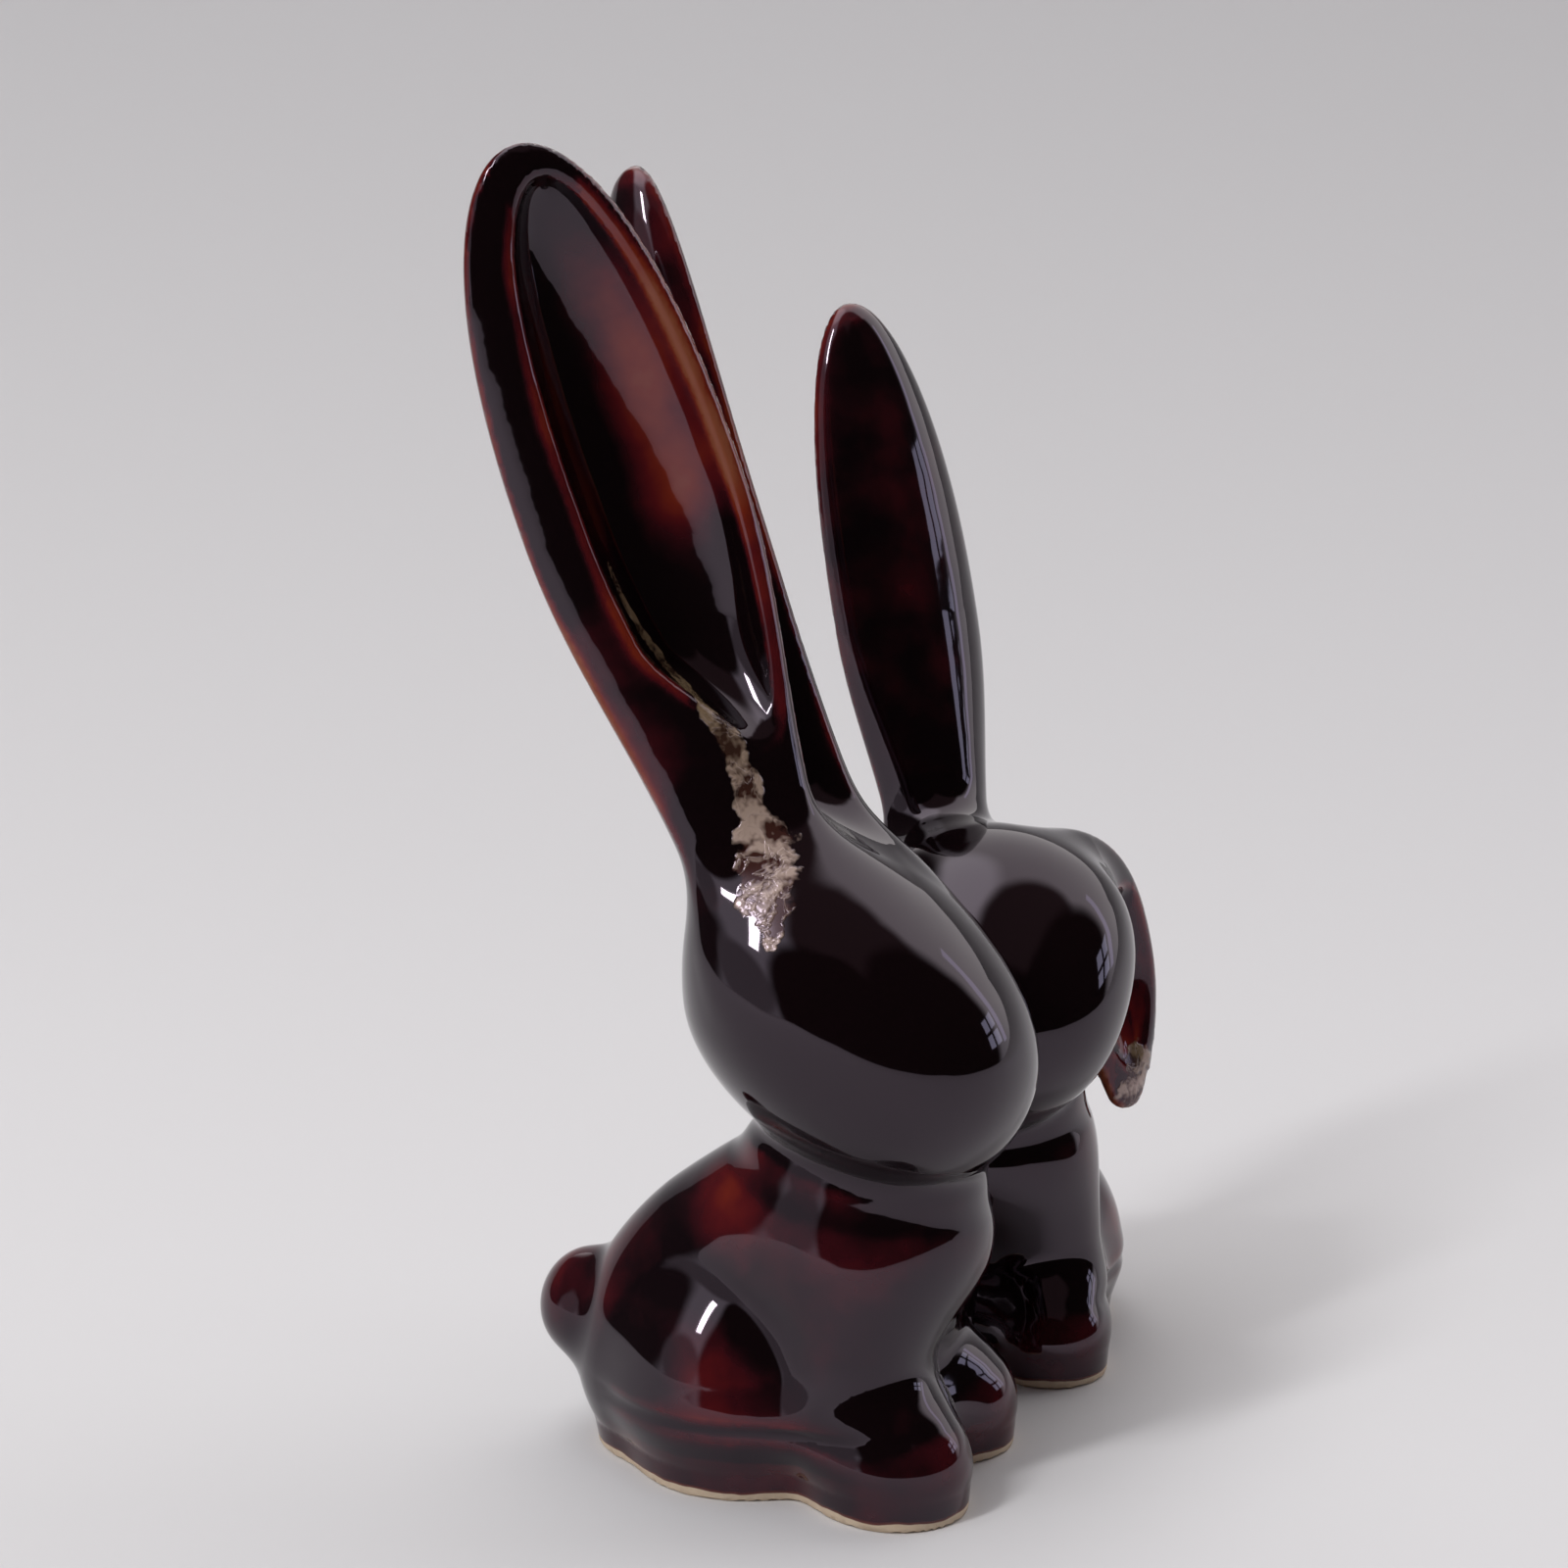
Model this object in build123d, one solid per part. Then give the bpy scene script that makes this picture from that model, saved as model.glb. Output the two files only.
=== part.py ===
from build123d import *
import math
import os

# Pair of slip-cast rabbits: a tall one and a small one with its nose against the tall one's cheek.
# Every rabbit is worked out in its own frame: x forward, y to its left, z up, all sizes in mm.

# Where each rabbit stands and how far its face is turned from the front of the pair, in degrees
TALL_PLACE = (-18.1, -14.5)
SMALL_PLACE = (32.8, 17.9)
TALL_TURN = 46.0
SMALL_TURN = -36.7

# Where the small rabbit's nose is stuck to the tall one's cheek, how far above the neck, and the way
# from cheek to nose
CHEEK_AT = (7.7, -8.6)
CHEEK_RISE = 12.7
CHEEK_WAY = (0.717, 0.657, -0.233)
CHEEK_BLOCK = 30.0

# The small rabbit is the tall one's form at this share
SMALL_share = 0.93

# Clay wall, foot ring and the vent hole that lets the air out in the kiln
WALL = 4.5
FLOOR = 4.5
FOOT_RING = 4.0
FOOT_RECESS = 1.0
VENT_HOLE_D = 3.6

# Body lumps in shares of the body height: place, half sizes, nose-down tilt in degrees, softness
# of the join
BODY_HEIGHT = 50.0
BODY_LUMP_shares = [
    ((0.2, 0, 0.646), (0.386, 0.38, 0.314), 9, 0),  # chest and shoulders
    ((-0.1, 0, 0.44), (0.45, 0.34, 0.38), -34, 0.18),  # sloping back
    ((-0.27, 0, 0.24), (0.31, 0.28, 0.27), 0, 0.16),  # rump
    ((0.06, 0, 0.16), (0.42, 0.29, 0.19), 0, 0.12),  # belly
    ((0.19, 0, 0.87), (0.33, 0.33, 0.16), 9, 0.05),  # neck roll
]
PAIRED_LUMP_shares = [
    ((-0.158, 0.172, 0.28), (0.266, 0.192, 0.278), -15, 0.06),  # haunch
    ((-0.06, 0.21, 0.07), (0.25, 0.14, 0.12), 0, 0.1),  # hind foot
    ((0.288, 0.208, 0.4), (0.176, 0.194, 0.32), -8, 0.14),  # foreleg
    ((0.382, 0.242, 0.11), (0.214, 0.172, 0.186), 0, 0.06),  # paw
]
TAIL_LUMP_shares = ((-0.57, 0, 0.36), (0.14, 0.16, 0.156), 0, 0.07)

# Neck: where the head is stuck on, a plane that drops toward the front
NECK_X = 9.5
NECK_Z_share = 0.89
NECK_Z = BODY_HEIGHT * NECK_Z_share
NECK_TILT = 9.0
NECK_R = 16.4
NECK_ROLL = 8.0
NECK_STUB = 5.5
NECK_RINGS = 6
NECK_BLOCK = 120.0

# Head: a skull ball and a muzzle ball run together, wider than deep, at a rise above the neck
SKULL_RISE = 23.0
MUZZLE_RISE = 12.5
SKULL = (6.3, NECK_Z + SKULL_RISE)
SKULL_R = 18.8
MUZZLE = (17.9, NECK_Z + MUZZLE_RISE)
MUZZLE_R = 16.8
HEAD_BLEND = 11.0
HEAD_SPREAD_share = 1.21
CROWN_share = 0.012
SMALL_HEAD_FORWARD = 5.3

# Ears: length, the widest one's half width and depth, sizes at the root, rim and back of the hollow
EAR_LENGTH = 100.0
EAR_HALF = 15.4
EAR_DEPTH = 7.6
EAR_ROOT_HALF = 9.0
EAR_ROOT_DEPTH = 9.0
EAR_FLARE = 2.6
EAR_RIM = 2.6
EAR_BACK = 3.2
EAR_CLEAR = 0.4
EAR_FRONT_share = 0.45
EAR_TIP_power = 2.3
EAR_DEPTH_power = 0.8
FLARE_AT_share = 0.04
FLARE_RUN_share = 0.1
HOLLOW_START_share = 0.13
HOLLOW_RAMP_share = 0.25
HOLLOW_NARROW_share = 0.35
HOLLOW_END_share = 0.955
HOLLOW_SHAPE_END_share = 0.988
# Each ear: the way its hollow faces in degrees, where along it is widest, its half width and depth,
# how far the hollow leans to one rim at its lower end, how much thicker the other rim is in shares of
# the widest ear's half width, the root from the skull's middle in shares
# of the skull's radius, and from the root the bend and the tip in shares of the ear length
EARS = {
    "tall_rabbit_right_ear": dict(
        faces=-50, widest_share=0.51, half_share=1, depth_share=1, lean_share=1.0, band_share=0.36,
        root_shares=(-0.218, -0.5, 0.606),
        bend_shares=(-0.185, -0.005, 0.503), tip_shares=(-0.315, -0.091, 0.967)),
    "tall_rabbit_left_ear": dict(
        faces=48, widest_share=0.49, half_share=0.812, depth_share=0.961, lean_share=-0.5, band_share=-0.25,
        root_shares=(-0.09, 0.707, 0.58),
        bend_shares=(-0.211, 0.034, 0.491), tip_shares=(-0.317, 0.03, 0.959)),
    "small_rabbit_raised_ear": dict(
        faces=-128, widest_share=0.47, half_share=0.961, depth_share=0.974, lean_share=0.5, band_share=0.25,
        root_shares=(-0.42, -0.564, 0.42),
        bend_shares=(-0.079, -0.076, 0.43), tip_shares=(-0.076, -0.172, 0.917)),
    "small_rabbit_folded_ear": dict(
        faces=53, widest_share=0.54, half_share=0.58, depth_share=0.671, lean_share=0.2, band_share=0,
        root_shares=(-0.415, 0.622, 0.314),
        bend_shares=(-0.048, 0.059, -0.102), tip_shares=(-0.035, 0.091, -0.373)),
}


def soft_min(a, b, k):
    if k <= 0:
        return min(a, b)
    h = min(1, max(0, 0.5 + 0.5 * (b - a) / k))
    return b * (1 - h) + a * h - k * h * (1 - h)


def lump(x, y, z, place_shares, half_shares, tilt):
    """How far a point lies outside one egg-shaped lump of clay."""
    t = math.radians(tilt)
    dx, dy, dz = (v - share * BODY_HEIGHT for v, share in zip((x, y, z), place_shares))
    dx, dz = math.cos(t) * dx - math.sin(t) * dz, math.sin(t) * dx + math.cos(t) * dz
    half = [share * BODY_HEIGHT for share in half_shares]
    k0 = math.sqrt(sum((d / h) ** 2 for d, h in zip((dx, dy, dz), half)))
    k1 = math.sqrt(sum((d / h ** 2) ** 2 for d, h in zip((dx, dy, dz), half)))
    return k0 * (k0 - 1) / k1 if k1 > 0 else -half[1]


def body_depth(x, y, z):
    """The lumps run together one after the other, the paired ones on both sides."""
    d = None
    for place, half, tilt, soft_share in BODY_LUMP_shares:
        one = lump(x, y, z, place, half, tilt)
        d = one if d is None else soft_min(d, one, soft_share * BODY_HEIGHT)
    for place, half, tilt, soft_share in PAIRED_LUMP_shares:
        d = soft_min(d, lump(x, abs(y), z, place, half, tilt), soft_share * BODY_HEIGHT)
    place, half, tilt, soft_share = TAIL_LUMP_shares
    return soft_min(d, lump(x, y, z, place, half, tilt), soft_share * BODY_HEIGHT)


def skin_at(start, step, r, level):
    x, y, z = (s + r * v for s, v in zip(start, step))
    # The skin turns in only a little above the foot ring, the hollow keeps its width down to the floor
    if z < FOOT_HEIGHT:
        z = FOOT_HEIGHT - (FOOT_HEIGHT - z) * FOOT_TURN_share
    return body_depth(x, y, z if level == 0 else max(z, TOE_HEIGHT))


def radius_along(start, step, level):
    """Distance from a start point to where the clay skin lies, going outward."""
    r, r_in = 0.0, 0.0
    while r < BODY_REACH:
        r += BODY_PACE
        if skin_at(start, step, r, level) > level:
            break
        r_in = r
    lo, hi = r_in, r
    for _ in range(HALVINGS):
        mid = (lo + hi) / 2
        if skin_at(start, step, mid, level) > level:
            hi = mid
        else:
            lo = mid
    return lo


BODY_REACH = 60.0
BODY_PACE = 1.0
HALVINGS = 26
SECTION_POINTS = 36
CORE_LOW = (2.0, 0.0)
TOE_HEIGHT = 9.0
FOOT_HEIGHT = 4.0
FOOT_TURN_share = 0.3


def body_wire(height, level=0.0, inset=0.0):
    """One closed outline round the body; the planes fan from the table up to the neck."""
    f = height / NECK_Z
    tilt = math.radians(NECK_TILT) * f ** 2
    cx = CORE_LOW[0] + (NECK_X - CORE_LOW[0]) * f
    pts = []
    for i in range(SECTION_POINTS):
        a = 2 * math.pi * i / SECTION_POINTS
        step = (math.cos(a) * math.cos(tilt), math.sin(a), -math.cos(a) * math.sin(tilt))
        n = math.sqrt(sum(v * v for v in step))
        step = [v / n for v in step]
        start = (cx, 0, height)
        r = radius_along(start, step, level) - inset
        pts.append(tuple(s + r * v for s, v in zip(start, step)))
    even = [i / SECTION_POINTS for i in range(SECTION_POINTS + 1)]
    return Wire([Edge.make_spline([Vector(*p) for p in pts], periodic=True, parameters=even)])


OUTER_LEVEL_shares = [0, 0.045, 0.101, 0.169, 0.247, 0.326, 0.404, 0.483, 0.562, 0.64, 0.719, 0.798,
                      0.865, 0.921, 0.966, 1]
INNER_LEVEL_shares = [0, 0.075, 0.1625, 0.2625, 0.3625, 0.4625, 0.5625, 0.6625, 0.7625, 0.85, 0.925, 1]


def make_body():
    outer = Solid.make_loft([body_wire(NECK_Z * share, 0) for share in OUTER_LEVEL_shares])
    inner = Solid.make_loft([body_wire(FLOOR + (NECK_Z - FLOOR) * share, -WALL)
                             for share in INNER_LEVEL_shares])
    foot = Face(body_wire(0, inset=FOOT_RING))
    recess = extrude(foot, amount=FOOT_RECESS, dir=(0, 0, 1))
    vent = Pos(CORE_LOW[0], 0, FLOOR / 2) * Cylinder(VENT_HOLE_D / 2, FLOOR * 2)
    return outer - inner - recess - vent


def head_plane():
    """Frame of the neck joint."""
    return Plane(origin=(NECK_X, 0, NECK_Z), x_dir=(math.cos(math.radians(NECK_TILT)), 0,
                 -math.sin(math.radians(NECK_TILT))), z_dir=(math.sin(math.radians(NECK_TILT)), 0,
                 math.cos(math.radians(NECK_TILT))))


RING_POINTS = 20
EGG_STEPS = 16


def ring(centre, side, out, half, low, high, middle):
    """Closed oval: half width, depth below and above its middle line."""
    pts = []
    for i in range(RING_POINTS):
        a = 2 * math.pi * i / RING_POINTS
        rise = high if math.sin(a) > 0 else low
        pts.append(centre + side * (half * math.cos(a)) + out * (middle + rise * math.sin(a)))
    even = [i / RING_POINTS for i in range(RING_POINTS + 1)]
    return Wire([Edge.make_spline(pts, periodic=True, parameters=even)])


def egg(inset, forward):
    """Skull and muzzle as one turned egg, then spread sideways."""
    dx, dz = MUZZLE[0] - SKULL[0], MUZZLE[1] - SKULL[1]
    gap = math.hypot(dx, dz)
    slope = math.degrees(math.atan2(-dz, dx))

    def skin(s, r):
        c = math.hypot(s, r) - SKULL_R
        m = math.hypot(s - gap, r) - MUZZLE_R
        return soft_min(c, m, HEAD_BLEND) + inset

    pts = []
    for i in range(EGG_STEPS + 1):
        a = math.pi * (1 - max(i / EGG_STEPS, CROWN_share))
        lo, hi = 0.0, BODY_REACH
        for _ in range(HALVINGS):
            mid = (lo + hi) / 2
            if skin(gap / 2 + mid * math.cos(a), mid * math.sin(a)) > 0:
                hi = mid
            else:
                lo = mid
        pts.append((gap / 2 + lo * math.cos(a), lo * math.sin(a) if i < EGG_STEPS else 0))
    t = math.radians(slope)
    along, side = Vector(math.cos(t), 0, -math.sin(t)), Vector(0, 1, 0)
    out = Vector(math.sin(t), 0, math.cos(t))
    base = Vector(SKULL[0] + forward, 0, SKULL[1])
    rings = [ring(base + along * d, side, out, r * HEAD_SPREAD_share, r, r, 0) for d, r in pts[:-1]]
    rings.append(Vertex(*(base + along * pts[-1][0])))
    return Solid.make_loft(rings)


def make_head(forward=0.0):
    plane = head_plane()
    rings = []
    for i in range(NECK_RINGS):
        h = NECK_STUB * i / (NECK_RINGS - 1)
        r = NECK_R * math.sqrt(1 - (h / NECK_ROLL) ** 2)
        rings.append(ring(plane.origin + plane.z_dir * h, plane.x_dir, plane.y_dir, r, r, r, 0))
    stub = Solid.make_loft(rings)
    bore = plane * Pos(0, 0, NECK_STUB) * Cylinder(NECK_R - WALL, NECK_STUB * 3)
    below = plane * Pos(0, 0, -NECK_BLOCK / 2) * Box(NECK_BLOCK, NECK_BLOCK, NECK_BLOCK)
    return egg(0, forward) + stub - below - egg(WALL, forward) - bore


def ear_frame(t, spec):
    """Centre, sideways and outward directions, half width and depth at share t of the ear."""
    a = Vector(SKULL[0], 0, SKULL[1]) + Vector(*spec["root_shares"]) * SKULL_R
    m, c = (a + Vector(*spec[name]) * EAR_LENGTH for name in ("bend_shares", "tip_shares"))
    b = m * 2 - (a + c) * 0.5
    centre = a * (1 - t) ** 2 + b * (2 * t * (1 - t)) + c * t ** 2
    along = ((b - a) * (2 * (1 - t)) + (c - b) * (2 * t)).normalized()
    face = math.radians(spec["faces"])
    out = Vector(math.cos(face), math.sin(face), 0)
    out = (out - along * out.dot(along)).normalized()
    side = along.cross(out)
    w = spec["widest_share"]
    half, depth = EAR_HALF * spec["half_share"], EAR_DEPTH * spec["depth_share"]
    if t < w:
        up = max(t, 0) / w
        half = EAR_ROOT_HALF + (half - EAR_ROOT_HALF) * (1 - math.cos(math.pi * up)) / 2
        depth = EAR_ROOT_DEPTH + (depth - EAR_ROOT_DEPTH) * up ** EAR_DEPTH_power
    else:
        tip = math.sqrt(max(1 - ((t - w) / (1 - w)) ** EAR_TIP_power, 0))
        half, depth = half * tip, depth * tip ** EAR_DEPTH_power
    flare = EAR_FLARE * math.exp(-(((t - FLARE_AT_share) / FLARE_RUN_share) ** 2))
    return centre, side, out, half + flare, depth + flare


LEAF_STATION_shares = [-0.09, -0.04, 0, 0.04, 0.08, 0.13, 0.18, 0.24, 0.3, 0.37, 0.45, 0.55, 0.65, 0.75,
                       0.84, 0.91, 0.955, 0.982, 0.995]
HOLLOW_STATION_shares = [HOLLOW_START_share, 0.16, 0.2, 0.25, 0.31, 0.38, 0.45, 0.55, 0.65, 0.75, 0.82,
                         0.88, 0.915, 0.938]


def make_ear(spec):
    leaf, hollow = [], []
    for t in LEAF_STATION_shares:
        c, side, out, half, depth = ear_frame(t, spec)
        leaf.append(ring(c, side, out, half, depth, EAR_FRONT_share * depth, 0))
    leaf.append(Vertex(*ear_frame(1, spec)[0]))
    for t in HOLLOW_STATION_shares:
        c, side, out, _, _ = ear_frame(t, spec)
        # The hollow ends short of the tip, with the same shape as the leaf round it
        shape_t = t if t < spec["widest_share"] else spec["widest_share"] + (t - spec["widest_share"]) * (
            HOLLOW_SHAPE_END_share - spec["widest_share"]) / (HOLLOW_END_share - spec["widest_share"])
        _, _, _, half, depth = ear_frame(shape_t, spec)
        ramp = min(1, (t - HOLLOW_START_share) / HOLLOW_RAMP_share)
        ramp = ramp * ramp * (3 - 2 * ramp)
        front = EAR_FRONT_share * depth + EAR_CLEAR
        sunk = max(front + depth - EAR_BACK, EAR_CLEAR) * ramp + EAR_CLEAR
        band = spec["band_share"] * half / spec["half_share"]
        room = max(half - EAR_RIM - abs(band) / 2, EAR_CLEAR * 2)
        wide = room * (HOLLOW_NARROW_share + (1 - HOLLOW_NARROW_share) * ramp)
        c = c + side * (spec["lean_share"] * (room - wide) + band / 2)
        hollow.append(ring(c, side, out, wide, sunk, sunk + EAR_CLEAR, front))
    c, side, out, _, _ = ear_frame(HOLLOW_END_share, spec)
    _, _, _, half, depth = ear_frame(HOLLOW_SHAPE_END_share, spec)
    hollow.append(Vertex(*(c + out * (EAR_FRONT_share * depth + EAR_CLEAR * 2))))
    return Solid.make_loft(leaf) - Solid.make_loft(hollow)


def cheek_side(sign):
    """Block of space on one side of the plane where the two heads are stuck together."""
    joint = Plane(origin=(*CHEEK_AT, NECK_Z + CHEEK_RISE), z_dir=CHEEK_WAY)
    return joint * Pos(0, 0, sign * CHEEK_BLOCK / 2) * Box(CHEEK_BLOCK, CHEEK_BLOCK, CHEEK_BLOCK)


def placed(shape, place, turn, share=1.0):
    """Own frame to the shared frame of the pair."""
    if share != 1.0:
        shape = scale(shape, by=share)
    return Pos(place[0], place[1], 0) * Rot(0, 0, turn - 90) * shape


os.makedirs("parts", exist_ok=True)
tall = (TALL_PLACE, TALL_TURN, 1.0)
small = (SMALL_PLACE, SMALL_TURN, SMALL_share)

body = make_body()
solids = {
    "tall_rabbit_body": placed(body, *tall),
    "tall_rabbit_head": placed(make_head(), *tall),
    "small_rabbit_body": placed(body, *small),
    "small_rabbit_head": placed(make_head(SMALL_HEAD_FORWARD), *small),
}
solids["tall_rabbit_head"] -= cheek_side(1)
solids["small_rabbit_head"] -= cheek_side(-1)
for name, spec in EARS.items():
    is_tall = name.startswith("tall")
    skull = egg(0, 0 if is_tall else SMALL_HEAD_FORWARD)
    solids[name] = placed(make_ear(spec) - skull, *(tall if is_tall else small))

for name, solid in solids.items():
    print(name, solid.is_valid, round(solid.volume), solid.bounding_box())
    export_step(solid, f"parts/{name}.step")
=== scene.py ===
import bpy
import math
import numpy as np
from mathutils import Matrix, Vector


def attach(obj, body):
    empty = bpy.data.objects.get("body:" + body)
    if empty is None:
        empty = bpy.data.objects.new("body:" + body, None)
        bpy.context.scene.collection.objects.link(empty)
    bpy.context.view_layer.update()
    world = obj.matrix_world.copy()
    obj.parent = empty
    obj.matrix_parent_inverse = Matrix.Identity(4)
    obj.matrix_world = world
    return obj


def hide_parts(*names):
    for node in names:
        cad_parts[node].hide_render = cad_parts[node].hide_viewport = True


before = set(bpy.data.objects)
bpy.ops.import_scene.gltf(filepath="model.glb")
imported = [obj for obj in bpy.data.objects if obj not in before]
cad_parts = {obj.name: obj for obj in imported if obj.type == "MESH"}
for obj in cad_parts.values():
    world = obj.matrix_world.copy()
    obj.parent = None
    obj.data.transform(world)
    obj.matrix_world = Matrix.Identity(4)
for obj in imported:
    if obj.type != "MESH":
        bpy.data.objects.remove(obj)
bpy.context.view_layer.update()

# Pair of slip-cast rabbits in a dark oxblood glaze, stuck together nose to cheek.
# Each rabbit is worked out in its own frame: x forward, y to its left, z up, in mm.
MM = 0.001
TALL_PLACE, TALL_TURN = (-18.1, -14.5), 46.0
SMALL_PLACE, SMALL_TURN = (32.8, 17.9), -36.7
SMALL_SHARE = 0.93
# Corners of the space that each rabbit stays in
TALL_BOX = ((-44, -36, -1), (40, 36, 181))
SMALL_BOX = ((-44, -56, -1), (42, 36, 182))
# Where they are stuck together, in the pair's frame, and the way from the tall rabbit to the small one
CHEEK_POINT = np.array((7.7, -8.6, 57.2))
CHEEK_WAY = np.array((0.717, 0.657, -0.233))
CHEEK_REACH = 13.0
CHEEK_FILLET = 1.2

# Clay lumps: place, half sizes, nose-down tilt in degrees, softness of the join
BODY_LUMPS = [
    ((11.1, 0, 34.2), (18.1, 17.4, 15.2), 9, 0),          # chest and shoulders
    ((-3.8, 0, 23.4), (22.1, 13.6, 18.7), -34, 9),        # sloping back
    ((-13.6, 0, 12.4), (15.9, 14.6, 16.5), 0, 8),         # rump
    ((2.8, 0, 8.1), (21.0, 13.2, 9.0), 0, 6),             # belly
]
PAIRED_LUMPS = [
    ((-4.6, 9.9, 11.9), (14.3, 10.6, 15.6), -13.5, 3.9),  # haunch
    ((-2.5, 9.7, 10.7), (12.2, 7.7, 2.0), 0, 4.5),        # hind foot
    ((14.4, 9.3, 15.9), (7.6, 9.2, 14.5), -1.1, 10.1),    # foreleg
    ((19.7, 11.4, 5.9), (10.3, 9.8, 9.5), 0, 4.7),        # paw
]
TAIL_LUMP = ((-28.5, 0, 18.0), (7.0, 8.0, 7.8), 0, 3.5)
NECK_ROLL = ((11.8, 0, 43.2), (16.4, 15.3, 9.2), 8.9, 2.5)
# Sloping plane where the head's casting sits on the body's, and the softness of the crease outside
NECK_POINT = (9.5, 0, 44.5)
NECK_TILT = 9.0
NECK_CREASE = 2.0

# Egg of the head: places (x, z) and radii of skull and muzzle, softness between them, spread sideways
SKULL, SKULL_R = (6.3, 67.5), 18.8
MUZZLE, MUZZLE_R = (17.9, 57.0), 16.8
HEAD_BLEND = 11.0
HEAD_SPREAD = 1.21
SMALL_HEAD_FORWARD = 5.3

# Sizes of every ear in mm
EAR_ROOT_HALF = 9.0        # half width at the root
EAR_ROOT_DEPTH = 9.0
EAR_RIM = 2.2              # rim on both sides of the hollow
EAR_RIM_SOFT = 1.6
EAR_END = 5.0              # from the hollow's end to the tip
EAR_FRONT_GAP = 0.3        # how far in front of the leaf the hollow's middle lies
EAR_FADE = 2.5             # and how much further where the hollow starts
EAR_DISH_LEAST = 0.35      # depth of the hollow where it starts
EAR_NO_HOLLOW = 9.0        # far enough from any hollow
EAR_BLEND = 9.0            # softness of the join with the head
EAR_MARGIN = 1.0           # room round the leaf for its rounded back
EAR_CLOSE = 3.0            # how far beyond the blend the leaf is worked out in full
# Shares of the ear's length, width or depth
EAR_FRONT_SHARE = 0.45     # depth of the front against the back
EAR_DISH_SHARE = 1.1       # depth of the hollow against the back
EAR_HOLLOW_START = 0.13
EAR_RAMP_SHARE = 0.22      # length over which the hollow opens
EAR_START_WIDE = 0.35      # width of the hollow where it starts
EAR_TIP_LEAST = 0.1
EAR_BAND_LEAST = 0.2       # what is left of the broad band at the hollow's end
# Powers that say how round each change is
EAR_DEPTH_RISE = 0.8
EAR_TIP_ROUND = 2.3
EAR_TIP_THICKER = 0.2
EAR_END_ROUND = 1.15
EAR_BAND_FADE = 0.3
# Points on the centre line, the stride of a first search along it, and the rounds that refine it
EAR_SAMPLES = 60
EAR_STRIDE = 4
EAR_ROUNDS = 4
# Each ear: root, middle and tip of the centre line, the way the hollow faces in degrees, half width,
# depth, share of the length at the widest place, side that the hollow's start leans to, width of the
# band beside the hollow, and share of the usual dish
EARS = {
    "tall_rabbit_right_ear": dict(
        line=[(2.2, -9.4, 78.9), (-16.3, -9.9, 129.2), (-29.3, -18.5, 175.6)],
        faces=-50, half=15.4, depth=7.6, widest=0.51, lean=1.0, band=5.5, dish=1.0),
    "tall_rabbit_left_ear": dict(
        line=[(4.6, 13.3, 78.4), (-16.5, 16.7, 127.5), (-27.1, 16.3, 174.3)],
        faces=48, half=12.5, depth=7.3, widest=0.49, lean=-0.5, band=-3.1, dish=1.0),
    "small_rabbit_raised_ear": dict(
        line=[(-1.6, -10.6, 75.4), (-9.5, -18.2, 118.4), (-9.2, -27.8, 167.1)],
        faces=-128, half=14.8, depth=7.4, widest=0.47, lean=0.5, band=3.7, dish=1.0),
    "small_rabbit_folded_ear": dict(
        line=[(-1.5, 11.7, 73.4), (-6.3, 17.6, 63.2), (-5.0, 20.8, 36.1)],
        faces=53, half=8.9, depth=5.1, widest=0.54, lean=0.2, band=0.0, dish=0.45),
}

# Clay wall, foot ring and the vent hole in the underside
WALL = 4.5
FLOOR = 4.5
CHAMBER_LOW = 9.0          # the chamber keeps its outline from here down to the floor
HOLLOW_TOP = 50.0          # higher than any of the hollow
HOLLOW_SOFT = 0.8
FOOT_RING = 4.0
FOOT_RECESS = 1.0
RECESS_SOFT = 0.6
VENT_HOLE_R = 1.8
VENT_HOLE_X = 2.0
VENT_HOLE_OVER = 1.0       # how far the hole reaches above the floor
VENT_HOLE_SOFT = 0.4
FOOT_HEIGHT = 4.0          # below this height the clay turns in by only a share
FOOT_TURN = 0.3
TABLE_SOFT = 0.35          # softness of the edge that stands on the table
# How near the hollow, and below what height, the clay is bare
BARE_NEAR = 0.6
BARE_TOP = 48.0

# Width in mm of the cells that the skin is wrapped in, and the larger cells that are looked at first
STEP = 0.8
COARSE_CELLS = 4
COARSE_REACH = 1.35
BATCH = 200000
# Rounds and longest move, in mm, of the points that settle on the skin
SETTLE_ROUNDS = 2
SETTLE_MOST = 0.4
SLOPE_LEAST = 0.25
SLOPE_STEP = 0.15


def soft_min(a, b, k):
    if k <= 0:
        return np.minimum(a, b)
    h = np.clip(0.5 + 0.5 * (b - a) / k, 0, 1)
    return b * (1 - h) + a * h - k * h * (1 - h)


def soft_max(a, b, k):
    return -soft_min(-a, -b, k)


def left_side(p):
    """The points with both sides of the rabbit laid on its left one."""
    return p * [1, 0, 1] + np.abs(p) * [0, 1, 0]


def lump(p, place, half, tilt):
    """How far each point lies outside one egg-shaped lump of clay."""
    t = math.radians(tilt)
    q = p - np.array(place, float)
    q = np.stack([math.cos(t) * q[:, 0] - math.sin(t) * q[:, 2], q[:, 1],
                  math.sin(t) * q[:, 0] + math.cos(t) * q[:, 2]], 1)
    half = np.array(half)
    k0 = np.sqrt(((q / half) ** 2).sum(1))
    k1 = np.sqrt(((q / half ** 2) ** 2).sum(1)) + 1e-9
    return k0 * (k0 - 1) / k1


def body_skin(p):
    d = np.full(len(p), 1e3)
    for place, half, tilt, k in BODY_LUMPS:
        d = soft_min(d, lump(p, place, half, tilt), k)
    both = left_side(p)
    for place, half, tilt, k in PAIRED_LUMPS:
        d = soft_min(d, lump(both, place, half, tilt), k)
    place, half, tilt, k = TAIL_LUMP
    return soft_min(d, lump(p, place, half, tilt), k)


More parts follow.
